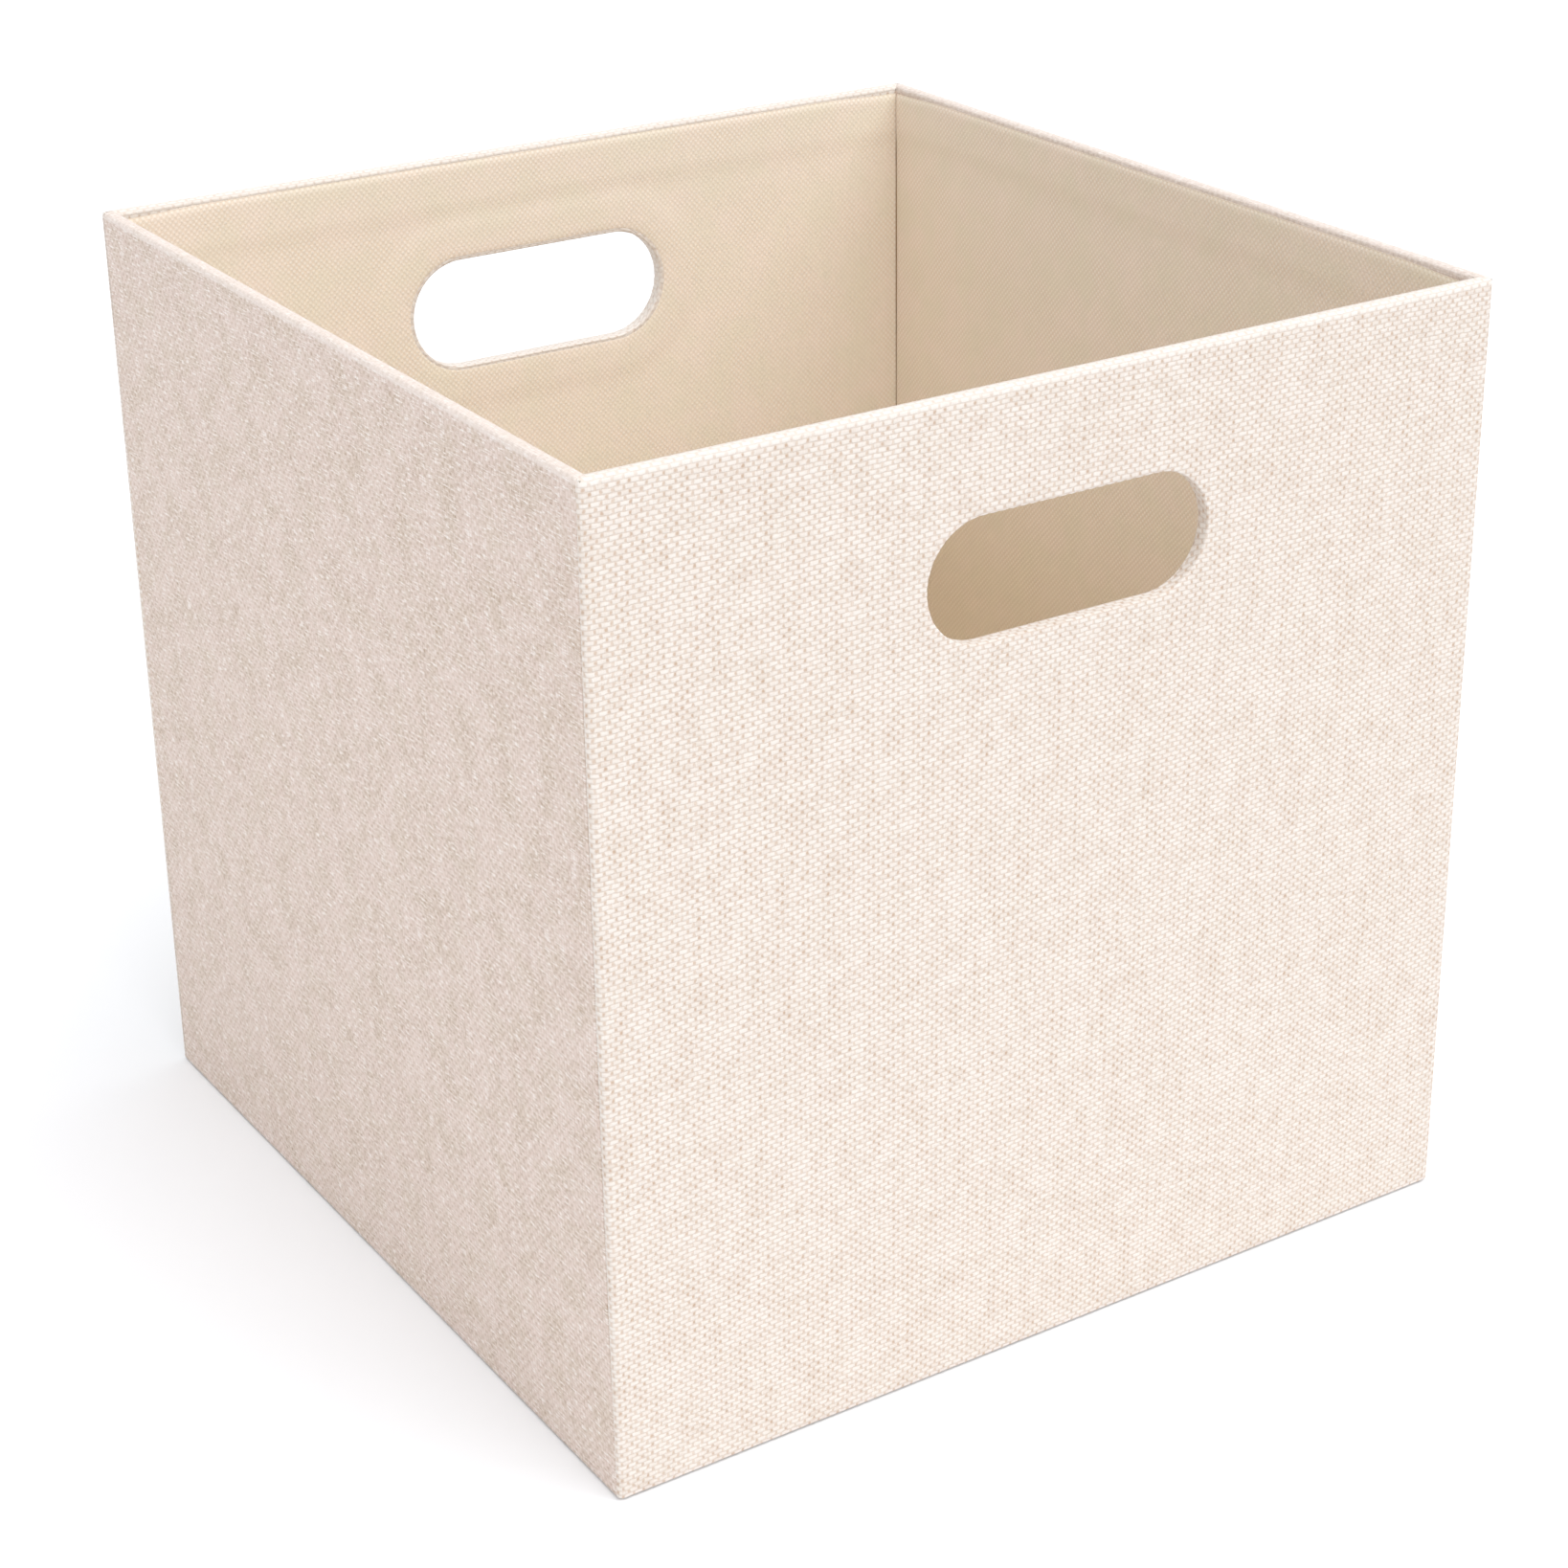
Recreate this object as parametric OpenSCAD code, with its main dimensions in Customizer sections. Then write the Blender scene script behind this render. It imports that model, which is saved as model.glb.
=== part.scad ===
// Square fabric storage bin. Stiff boards stand on their edges round a base board, paper tape
// joins them inside, woven cloth covers the outside and a thin lining covers the inside.
// Front is -Y, up is +Z, and the origin is the middle of the underside.

/* [Bin] */
// Width over the left and right walls
bin_w = 330; // [220:1:450]
// Depth over the front and back walls, which carry the hand slots
bin_d = 330; // [220:1:450]
// Height from the floor to the top of the rim
bin_h = 330; // [160:1:450]

/* [Boards] */
// Thickness of the four wall boards
wall_board_t = 3.5; // [1.5:0.1:5]
// Thickness of the base board
base_board_t = 2.8; // [1.5:0.1:6]

/* [Hand slots] */
// Finished width of a slot, inside its cloth edge
slot_w = 104; // [80:1:160]
// Finished height of a slot, inside its cloth edge
slot_h = 40; // [25:1:60]
// Distance from the top of the rim to the middle of a slot
slot_drop = 58; // [50:1:90]

/* [Outer cloth] */
// Thickness of the outer cloth
cover_t = 0.6; // [0.4:0.05:1.2]
// Thickness of the cloth sheet under the base
base_cover_t = 0.5; // [0.4:0.05:1.2]
// Radius of the covered upright corners
corner_r = 1.2; // [0.6:0.1:1.3]
// How far the front and back cloth runs round onto the side walls
corner_wrap = 2; // [1.5:0.1:6]
// Depth of cloth turned over the rim and down the inside
rim_turn_in = 15; // [8:1:20]
// Width of cloth turned through a slot and out over the inside
slot_turn_in = 10; // [5:1:12]
// Width of cloth turned under the base
base_turn_under = 16; // [8:1:30]
// Distance from the outer walls to the edge of the sheet under the base
base_cover_inset = 5; // [3:0.5:7]

/* [Lining] */
// Thickness of the lining cloth
lining_t = 0.5; // [0.3:0.05:1]
// Distance from the top of the rim down to the edge of the lining
lining_set_back = 2; // [1.5:0.5:6]
// Distance from a slot's cloth edge back to the edge of the lining
slot_set_back = 1; // [0.6:0.1:3]

/* [Paper tape] */
// Thickness of the paper tape inside the corners
tape_t = 0.2; // [0.1:0.05:0.3]
// Width of tape on each board that it joins
tape_leg = 20; // [10:1:30]

/* [Hidden] */

// Gap left where two cloth edges meet, and round a turned-in edge
cloth_gap = 0.3;
// How far a cutting shape runs past what it cuts
past = 1;
$fn = 96;

cover_color = [0.94, 0.89, 0.84];
lining_color = [0.87, 0.80, 0.68];
board_color = [0.66, 0.60, 0.52];
tape_color = [0.78, 0.64, 0.46];

// Faces of the boards: outside, inside, underside, top edge, and top of the base board
out_x = bin_w / 2 - cover_t;
out_y = bin_d / 2 - cover_t;
in_x = out_x - wall_board_t;
in_y = out_y - wall_board_t;
board_low = base_cover_t + cover_t;
board_top = bin_h - cover_t;
base_top = board_low + base_board_t;

// Inner faces of the cloth turned in at the rim, which the lining's edges stay clear of
turned_x = in_x - cover_t;
turned_y = in_y - cover_t;

slot_z = bin_h - slot_drop;
turn_in_low = bin_h - rim_turn_in;
lining_low = base_top + tape_t;
lining_top = bin_h - lining_set_back;
// Half the width of a side lining, which stands between the front and back linings
side_lining_y = turned_y - lining_t - cloth_gap;

// A block between two opposite corners, given in any order
module block(a, b) {
    low = [for (i = [0:2]) min(a[i], b[i])];
    high = [for (i = [0:2]) max(a[i], b[i])];
    translate(low) cube(high - low);
}

// A block centred on the upright axis
module centred_block(half_x, half_y, low, high) {
    block([-half_x, -half_y, low], [half_x, half_y, high]);
}

// The finished slot outline in wall coordinates, made larger all round by grow
module slot_outline(grow) {
    radius = slot_h / 2 + grow;
    reach = (slot_w - slot_h) / 2;
    translate([0, slot_z]) {
        square([2 * reach, 2 * radius], center = true);
        for (side = [-1, 1]) translate([side * reach, 0]) circle(radius);
    }
}

// An outline in wall coordinates made a sheet that stands in front of the face at y = -face,
// on its inner side, with its outer surface at the given depth from that face
module inner_sheet(face, depth, thickness) {
    translate([0, depth + thickness - face, 0]) {
        rotate([90, 0, 0]) linear_extrude(thickness) children();
    }
}

// The shape removed for the front slot, larger all round by grow
module slot_cut(grow) {
    inner_sheet(bin_d / 2 + past, 0, bin_d / 2 - turned_y + lining_t + 2 * past) slot_outline(grow);
}

module end_board() {
    difference() {
        block([-out_x, -out_y, board_low], [out_x, -in_y, board_top]);
        slot_cut(cover_t);
    }
}

module side_board() {
    block([-out_x, -in_y, board_low], [-in_x, in_y, board_top]);
}

// Upright tape in the corner on the given sides, from the base board to the turned-in cloth
module corner_tape(side_x, side_y) {
    corner = [side_x * in_x, side_y * in_y, base_top];
    top = turn_in_low - cloth_gap - base_top;
    block(corner, corner + [-side_x * tape_t, -side_y * tape_leg, top]);
    block(corner, corner + [-side_x * tape_leg, -side_y * tape_t, top]);
}

// Tape along the foot of a wall whose inner face is at y = -face
module base_tape(face, half_length) {
    block([-half_length, -face, base_top], [half_length, tape_t - face, base_top + tape_leg]);
    block([-half_length, -face, base_top], [half_length, tape_leg - face, base_top + tape_t]);
}

module upright_corners() {
    radius = min(corner_r, 2 * cover_t);
    for (x = [-1, 1], y = [-1, 1]) {
        translate([x * (bin_w / 2 - radius), y * (bin_d / 2 - radius), base_cover_t]) {
            cylinder(h = bin_h - base_cover_t, r = radius);
        }
    }
    centred_block(bin_w / 2 - radius, bin_d / 2, base_cover_t, bin_h);
    centred_block(bin_w / 2, bin_d / 2 - radius, base_cover_t, bin_h);
}

// Cloth on all four walls, over the rim and under the base, before it is cut into panels
module cloth_shell() {
    difference() {
        upright_corners();
        difference() {
            centred_block(out_x, out_y, board_low, board_top);
            centred_block(in_x, in_y, turn_in_low, board_top + past);
        }
        centred_block(turned_x, turned_y, board_low, bin_h + past);
        centred_block(bin_w / 2 - base_turn_under, bin_d / 2 - base_turn_under, 0, base_top);
    }
}

// Ground plan of the front panel of cloth: mitred at the rim and base, and wrapped round the
// upright corners by corner_wrap
module front_cloth_plan() {
    reach = base_turn_under + past;
    polygon([
        [-bin_w / 2, -bin_d / 2], [bin_w / 2, -bin_d / 2],
        [bin_w / 2 - reach, reach - bin_d / 2], [reach - bin_w / 2, reach - bin_d / 2]
    ]);
    for (side = [-1, 1]) {
        translate([side * (bin_w / 2 - cover_t / 2), (corner_wrap - bin_d) / 2]) {
            square([cover_t, corner_wrap], center = true);
        }
    }
}

// Ground plan of the left panel of cloth, clear of the wrapped edges of its neighbours
module left_cloth_plan() {
    reach = base_turn_under + past;
    edge = bin_d / 2 - corner_wrap - cloth_gap;
    slope = bin_d / 2 - cover_t - cloth_gap;
    polygon([
        [-bin_w / 2, -edge], [-bin_w / 2, edge],
        [cover_t - bin_w / 2, edge], [cover_t - bin_w / 2, slope],
        [reach - bin_w / 2, bin_d / 2 - reach - cloth_gap], [reach - bin_w / 2, reach + cloth_gap - bin_d / 2],
        [cover_t - bin_w / 2, -slope], [cover_t - bin_w / 2, -edge]
    ]);
}

module end_cover() {
    difference() {
        union() {
            intersection() {
                cloth_shell();
                linear_extrude(bin_h + past) front_cloth_plan();
            }
            inner_sheet(out_y, 0, wall_board_t + cover_t) slot_outline(cover_t);
            inner_sheet(in_y, 0, cover_t) slot_outline(slot_turn_in);
        }
        slot_cut(0);
    }
}

module side_cover() {
    intersection() {
        cloth_shell();
        linear_extrude(bin_h + past) left_cloth_plan();
    }
}

module base_sheet() {
    centred_block(bin_w / 2 - base_cover_inset, bin_d / 2 - base_cover_inset, 0, base_cover_t);
}

// The part of a wall that turned-in cloth covers, larger all round by grow
module turned_in_outline(half_width, grow, slotted) {
    low = turn_in_low - grow;
    translate([-half_width, low]) square([2 * half_width, bin_h - low]);
    if (slotted) slot_outline(slot_turn_in + grow);
}

// Lining for a wall whose inner face is at y = -face. It lies on the board, and steps up over
// the cloth that is turned in at the rim and round a slot.
module wall_lining(face, half_width, slotted) {
    step_out = cloth_gap + lining_t;
    difference() {
        union() {
            inner_sheet(face, tape_t, lining_t) difference() {
                lining_outline(half_width);
                turned_in_outline(half_width, cloth_gap, slotted);
            }
            inner_sheet(face, cover_t, lining_t) intersection() {
                lining_outline(half_width);
                turned_in_outline(half_width, step_out, slotted);
            }
            inner_sheet(face, tape_t, cover_t + lining_t - tape_t) difference() {
                intersection() {
                    lining_outline(half_width);
                    turned_in_outline(half_width, step_out, slotted);
                }
                turned_in_outline(half_width, cloth_gap, slotted);
            }
        }
        if (slotted) slot_cut(slot_set_back);
    }
}

module lining_outline(half_width) {
    translate([-half_width, lining_low]) square([2 * half_width, lining_top - lining_low]);
}

module front_board() color(board_color) end_board();
module back_board() color(board_color) rotate(180) end_board();
module left_board() color(board_color) side_board();
module right_board() color(board_color) rotate(180) side_board();
module base_board() color(board_color) centred_block(in_x, in_y, board_low, base_top);

module front_left_corner_tape() color(tape_color) corner_tape(-1, -1);
module front_right_corner_tape() color(tape_color) corner_tape(1, -1);
module back_left_corner_tape() color(tape_color) corner_tape(-1, 1);
module back_right_corner_tape() color(tape_color) corner_tape(1, 1);
module front_base_tape() color(tape_color) base_tape(in_y, in_x - tape_leg);
module back_base_tape() color(tape_color) rotate(180) base_tape(in_y, in_x - tape_leg);
module left_base_tape() color(tape_color) rotate(-90) base_tape(in_x, in_y - tape_leg);
module right_base_tape() color(tape_color) rotate(90) base_tape(in_x, in_y - tape_leg);

module front_cover() color(cover_color) end_cover();
module back_cover() color(cover_color) rotate(180) end_cover();
module left_cover() color(cover_color) side_cover();
module right_cover() color(cover_color) rotate(180) side_cover();
module base_cover() color(cover_color) base_sheet();

module front_lining() color(lining_color) wall_lining(in_y, turned_x, true);
module back_lining() color(lining_color) rotate(180) wall_lining(in_y, turned_x, true);
module left_lining() color(lining_color) rotate(-90) wall_lining(in_x, side_lining_y, false);
module right_lining() color(lining_color) rotate(90) wall_lining(in_x, side_lining_y, false);
module base_lining() {
    inset = tape_t + lining_t + cloth_gap;
    color(lining_color) centred_block(in_x - inset, in_y - inset, lining_low, lining_low + lining_t);
}

front_board();
back_board();
left_board();
right_board();
base_board();
front_left_corner_tape();
front_right_corner_tape();
back_left_corner_tape();
back_right_corner_tape();
front_base_tape();
back_base_tape();
left_base_tape();
right_base_tape();
front_cover();
back_cover();
left_cover();
right_cover();
base_cover();
front_lining();
back_lining();
left_lining();
right_lining();
base_lining();
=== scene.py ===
import math

import bmesh
import bpy
from mathutils import Matrix, Vector, noise


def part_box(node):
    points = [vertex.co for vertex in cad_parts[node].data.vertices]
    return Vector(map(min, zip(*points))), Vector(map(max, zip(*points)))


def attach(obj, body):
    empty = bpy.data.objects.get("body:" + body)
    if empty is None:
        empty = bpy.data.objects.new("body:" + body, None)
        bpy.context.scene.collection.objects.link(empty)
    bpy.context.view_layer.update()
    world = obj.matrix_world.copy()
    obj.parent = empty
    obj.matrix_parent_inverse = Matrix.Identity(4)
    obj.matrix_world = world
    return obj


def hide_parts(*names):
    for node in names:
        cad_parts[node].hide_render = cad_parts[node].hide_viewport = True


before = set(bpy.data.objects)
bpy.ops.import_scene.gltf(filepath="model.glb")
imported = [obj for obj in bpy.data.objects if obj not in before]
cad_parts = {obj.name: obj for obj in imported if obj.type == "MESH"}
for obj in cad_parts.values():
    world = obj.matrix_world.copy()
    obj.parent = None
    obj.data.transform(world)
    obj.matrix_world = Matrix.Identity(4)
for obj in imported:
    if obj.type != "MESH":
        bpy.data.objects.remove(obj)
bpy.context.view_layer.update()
mm = 0.001
print("frame loaded:", len(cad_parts), "nodes")

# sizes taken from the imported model
coverLow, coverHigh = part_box("front_cover")
boardLow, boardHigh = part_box("front_board")
halfWidth, halfDepth = coverHigh.x, -coverLow.y
rimTop, clothFoot = coverHigh.z, coverLow.z
clothDepth = halfDepth + boardLow.y  # what the outer cloth takes up on a board
boardDepth = boardHigh.y - boardLow.y
wallDepth = boardDepth + 2 * clothDepth  # a finished wall at the rim
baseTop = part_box("base_lining")[1].z
liningLow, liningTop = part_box("back_lining")[0].z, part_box("back_lining")[1].z
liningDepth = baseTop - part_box("base_lining")[0].z


def slotFromCover():
    # the points on the cover's outside that are well away from its own edges are the slot's
    onFace, middleShare, belowRim = 0.05 * mm, 0.6, 15 * mm
    rim = [v.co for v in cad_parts["front_cover"].data.vertices
           if abs(v.co.y + halfDepth) < onFace and abs(v.co.x) < middleShare * halfWidth
           and 0.5 * rimTop < v.co.z < rimTop - belowRim]
    xs, zs = [p.x for p in rim], [p.z for p in rim]
    return max(xs) - min(xs), max(zs) - min(zs), (max(zs) + min(zs)) / 2


slotWidth, slotHeight, slotMiddle = slotFromCover()
slotReach = (slotWidth - slotHeight) / 2  # half the straight run between the round ends
print("slot", round(slotWidth / mm, 2), "by", round(slotHeight / mm, 2), "mm")

# a wall's own coordinates: along it, depth in from its outside, and height
walls = {
    "front": {"turn": (1, 0), "half": halfWidth, "out": halfDepth},
    "right": {"turn": (0, 1), "half": halfDepth, "out": halfWidth},
    "back": {"turn": (-1, 0), "half": halfWidth, "out": halfDepth},
    "left": {"turn": (0, -1), "half": halfDepth, "out": halfWidth},
}


def wallPoint(wall, along, depth, height):
    c, s = wall["turn"]
    x, y = along, depth - wall["out"]
    return Vector((x * c - y * s, x * s + y * c, height))


def slotGap(along, height):
    # distance outside the finished slot edge, then the nearest place on the slot's middle
    # line and the way out from it
    core = min(max(along, -slotReach), slotReach)
    dx, dz = along - core, height - slotMiddle
    reach = math.hypot(dx, dz)
    return reach - slotHeight / 2, core, (dx / reach, dz / reach) if reach else (0, 1)


def smooth(low, high, value):
    t = min(max((value - low) / (high - low), 0), 1)
    return t * t * (3 - 2 * t)


def evenSteps(low, high, spacing):
    count = max(1, round((high - low) / spacing))
    return [low + (high - low) * k / count for k in range(count + 1)]


arcSteps = 4  # rows of a sheet in a quarter turn


def quarterTurn():
    return [math.radians(90 * k / arcSteps) for k in range(arcSteps + 1)]


outerCloth = {
    "pitchU": 1.78 * mm,        # between threads along the floats
    "pitchV": 1.52 * mm,        # between threads across the floats
    "relief": 0.085 * mm,       # how far a float stands up from the middle
    "sideRelief": 0.4,          # share of that on the left and right cloths
    "reliefFades": 2.8 * mm,    # below the rim, where it starts to fade
    "reliefEnds": 1.6 * mm,     # below the rim, where it is gone
    "thickness": 0.5 * mm,
    "cornerRadius": 1.75 * mm,
    "rimRadius": 1.7 * mm,
    "footRadius": 1.1 * mm,
    "slotRadius": 0.65 * mm,
    "slotProud": 0.45 * mm,     # how far its turned edge stands in past the wall
    "slotLip": (2 * mm, 0.1 * mm),          # where that edge starts back, and by how much
    "slotRows": (3.2 * mm, 6 * mm),         # its rows from there on
    "turnedDown": 15 * mm,      # inside the rim
    "turnedDownRows": (2.2 * mm, 3.4 * mm, 6 * mm, 10 * mm),
    "turnedUnder": 16 * mm,     # under the base
    "turnedUnderRows": (1, 0.65, 0.32),     # shares of that
    "underEdge": 3 * mm,        # the last row before the foot's turn
    "turnedThrough": 10 * mm,   # round a slot, on the inside
    "roundClear": 0.4,          # share of a pitch between a plain row and a turn
    "cornerClear": 0.3 * mm,
    "seamGap": 0.30 * mm,
    "seamDip": 0.50 * mm,
    "wrapRows": (0.55, 0.8),    # shares of the way from a corner's turn to the seam
    "wrapDip": 0.7,             # share of the dip at the end cloth's edge
}

# where the front and back cloths end on the side walls
seam = {
    "least": 2.0 * mm,
    "swell": 1.5 * mm,          # further than that at half height
    "swellShare": 0.8,
    "swellPower": 1.3,
    "lean": 0.25,               # unevenness of the swell, and its turns
    "leanTurns": 2.2,
    "wobble": 0.14 * mm,
    "wobbleLength": 16 * mm,
    "cornerStep": 5.3,          # keeps the corners' wobbles apart
    "widest": 1.3,              # the swell's largest, as a share
    "clear": 2.2 * mm,          # from there to the side cloth's first plain thread
    # rows of the side cloth's folded edge: distance from it and share of the dip
    "foldRows": ((1.3 * mm, 0), (0.7 * mm, 0), (0.38 * mm, 0.1), (0.16 * mm, 0.42), (0, 1)),
}


def seamPlace(height, corner):
    t = min(max(height / rimTop, 0), 1)
    lean = 1 + seam["lean"] * math.sin(seam["leanTurns"] * math.pi * t + corner)
    shape = math.sin(math.pi * t) ** seam["swellPower"] * lean
    wave = noise.noise(Vector((height / seam["wobbleLength"], corner * seam["cornerStep"], 0)))
    return (seam["least"] + seam["swell"] * max(shape, 0) * seam["swellShare"]
            + seam["wobble"] * (1 + wave))


def profileRows(pitch):
    # rows of the cloth from under the base, up the outside, over the rim and down the inside,
    # each as (flat place, depth, height)
    c = outerCloth
    foot, rim = c["footRadius"], c["rimRadius"]
    low, high = clothFoot + foot, rimTop - rim
    first = math.ceil((low + c["roundClear"] * pitch) / pitch)
    last = math.floor((high - c["roundClear"] * pitch) / pitch)
    rows = [(share * c["turnedUnder"], clothFoot) for share in c["turnedUnderRows"]]
    rows.append((c["underEdge"], clothFoot))
    rows += [(foot * (1 - math.sin(a)), clothFoot + foot * (1 - math.cos(a)))
             for a in quarterTurn()]
    rows += [(0, k * pitch) for k in range(first, last + 1)]
    rows += [(rim * (1 - math.cos(a)), high + rim * math.sin(a)) for a in quarterTurn()]
    rows.append((wallDepth / 2, rimTop))
    rows += [(wallDepth - rim * (1 - math.sin(a)), high + rim * math.cos(a))
             for a in quarterTurn()]
    rows += [(wallDepth, rimTop - drop) for drop in (*c["turnedDownRows"], c["turnedDown"])]
    # flat places: a row on the face keeps its height, and the others go on from there
    start = next(k for k, row in enumerate(rows) if row[0] == 0)
    flat = [0.0] * len(rows)
    flat[start] = rows[start][1]
    for k in range(start + 1, len(rows)):
        flat[k] = flat[k - 1] + math.dist(rows[k], rows[k - 1])
    for k in range(start - 1, -1, -1):
        flat[k] = flat[k + 1] - math.dist(rows[k], rows[k + 1])
    return [(flat[k], depth, height) for k, (depth, height) in enumerate(rows)]


def weaveLift(u, v):
    c = outerCloth
    across, along = math.pi * u / c["pitchU"], math.pi * v / c["pitchV"]
    return c["relief"] * math.cos(across) * math.cos(along)


def startSheet(name, columns, rows):
    # a plain grid with a point for each column and row, opened for shaping. Its flat layer
    # holds each point's place on the flat cloth, and 1 where a slot may be cut
    lastColumn, lastRow = len(columns) - 1, len(rows) - 1
    bpy.ops.object.select_all(action="DESELECT")
    bpy.ops.mesh.primitive_grid_add(x_subdivisions=lastColumn, y_subdivisions=lastRow, size=1)
    piece = bpy.context.object
    piece.name = piece.data.name = name
    places = [(v.index, columns[round((v.co.x + 0.5) * lastColumn)],
               rows[round((v.co.y + 0.5) * lastRow)]) for v in piece.data.vertices]
    bm = bmesh.new()
    bm.from_mesh(piece.data)
    flat = bm.verts.layers.float_vector.new("flat")
    dip = bm.verts.layers.float.new("dip")
    bm.verts.ensure_lookup_table()
    return piece, places, bm, flat, dip


def bothSides(side, middle):
    # columns from one edge of a sheet to the other, each with the side it is on
    return [(-1, *s) for s in reversed(side)] + [(1, *middle)] + [(1, *s) for s in side]


cutting = {
    "margin": 0.35 * mm,        # points this far inside the cut are taken out
    "search": 8 * mm,           # the cut edge is looked for within this of it
}


def openSlot(bm, flat, wall, edgeGap, depth, rings, flip):
    # takes the slot out of a flat wall of cloth and turns the edge through it. A ring is
    # (gap from the finished edge, depth, length of cloth used from the first ring)
    sign = -1 if flip else 1

    def here(v):
        return sign * flatOf[v][0], flatOf[v][1]

    flatOf = {v: (v[flat].x, v[flat].y) for v in bm.verts if v[flat].z > 0.5}
    inside = [v for v in flatOf if slotGap(*here(v))[0] < edgeGap - cutting["margin"]]
    for v in inside:
        del flatOf[v]
    bmesh.ops.delete(bm, geom=inside, context="VERTS")
    edges = [e for e in bm.edges if e.is_boundary and all(
        v in flatOf and slotGap(*here(v))[0] < edgeGap + cutting["search"] for v in e.verts)]
    after = {e.link_loops[0].vert: e.link_loops[0].link_loop_next.vert for e in edges}
    before = [next(iter(after))]
    while after[before[-1]] is not before[0]:
        before.append(after[before[-1]])
    spots = [slotGap(*here(v))[1:] for v in before]
    for v, (core, way) in zip(before, spots):
        along = core + way[0] * (slotHeight / 2 + edgeGap)
        height = slotMiddle + way[1] * (slotHeight / 2 + edgeGap)
        v.co = wallPoint(wall, along, depth, height)
        v[flat] = Vector((sign * along, height, 1))
    for gap, ringDepth, used in rings:
        row = []
        reach, flatReach = slotHeight / 2 + gap, slotHeight / 2 + edgeGap - used
        for core, way in spots:
            v = bm.verts.new(wallPoint(wall, core + way[0] * reach, ringDepth,
                                       slotMiddle + way[1] * reach))
            v[flat] = Vector((sign * (core + way[0] * flatReach),
                              slotMiddle + way[1] * flatReach, 0))
            row.append(v)
        for k in range(len(row)):
            n = (k + 1) % len(row)
            bm.faces.new((before[n], before[k], row[k], row[n]))
        before = row


finishing = {
    "weld": 0.012 * mm,
    "smoothAngle": 55,
}


def finishSheet(piece, bm, flat, dip, thickness, shift, reliefShare=0.0, turned=False):
    # lays the weave's relief on the sheet, gives it its UV map and its thickness
    c = outerCloth
    bmesh.ops.remove_doubles(bm, verts=bm.verts, dist=finishing["weld"])
    uv = bm.loops.layers.uv.get("UVMap") or bm.loops.layers.uv.new("UVMap")
    bm.normal_update()
    moves = []
    for v in bm.verts:
        u, w = v[flat].x, v[flat].y
        if turned:
            u, w = w, u
        inside = (abs(v.co.x) < halfWidth - wallDepth / 2
                  and abs(v.co.y) < halfDepth - wallDepth / 2)
        faded = 1.0 if inside else smooth(rimTop - c["reliefFades"], rimTop - c["reliefEnds"],
                                          v.co.z)
        rise = weaveLift(u, w) * reliefShare * (1 - faded) - v[dip]
        moves.append(v.normal * rise)
    for v, move in zip(bm.verts, moves):
        v.co += move
    for face in bm.faces:
        for loop in face.loops:
            u, w = loop.vert[flat].x, loop.vert[flat].y
            if turned:
                u, w = w, u
            loop[uv].uv = (u + shift[0], w + shift[1])
    bm.to_mesh(piece.data)
    bm.free()
    piece.data.uv_layers[0].name = "cloth"
    for name in ("flat", "dip"):
        piece.data.attributes.remove(piece.data.attributes[name])
    bpy.ops.object.select_all(action="DESELECT")
    bpy.context.view_layer.objects.active = piece
    piece.select_set(True)
    solid = piece.modifiers.new("thickness", "SOLIDIFY")
    solid.thickness, solid.offset = thickness, -1
    bpy.ops.object.modifier_apply(modifier=solid.name)
    bpy.ops.object.shade_smooth_by_angle(angle=math.radians(finishing["smoothAngle"]))
    piece.data.update()
    print(piece.name, len(piece.data.polygons), "faces")
    return piece


def slotRings():
    # the cloth's way from a slot's outer edge, through the wall and back along its inside
    c = outerCloth
    r, through = c["slotRadius"], wallDepth + c["slotProud"]
    lipGap, lipDrop = c["slotLip"]
    places = [(r * (1 - math.sin(a)), r * (1 - math.cos(a))) for a in quarterTurn()[1:]]
    places.append((0, through / 2))
    places += [(r * (1 - math.cos(a)), through - r + r * math.sin(a)) for a in quarterTurn()]
    places.append((lipGap, through - lipDrop))
    places += [(gap, wallDepth) for gap in (*c["slotRows"], c["turnedThrough"])]
    rings, used, last = [], 0.0, (r, 0)
    for place in places:
        used += math.dist(place, last)
        rings.append((*place, used))
        last = place
    return rings


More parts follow.
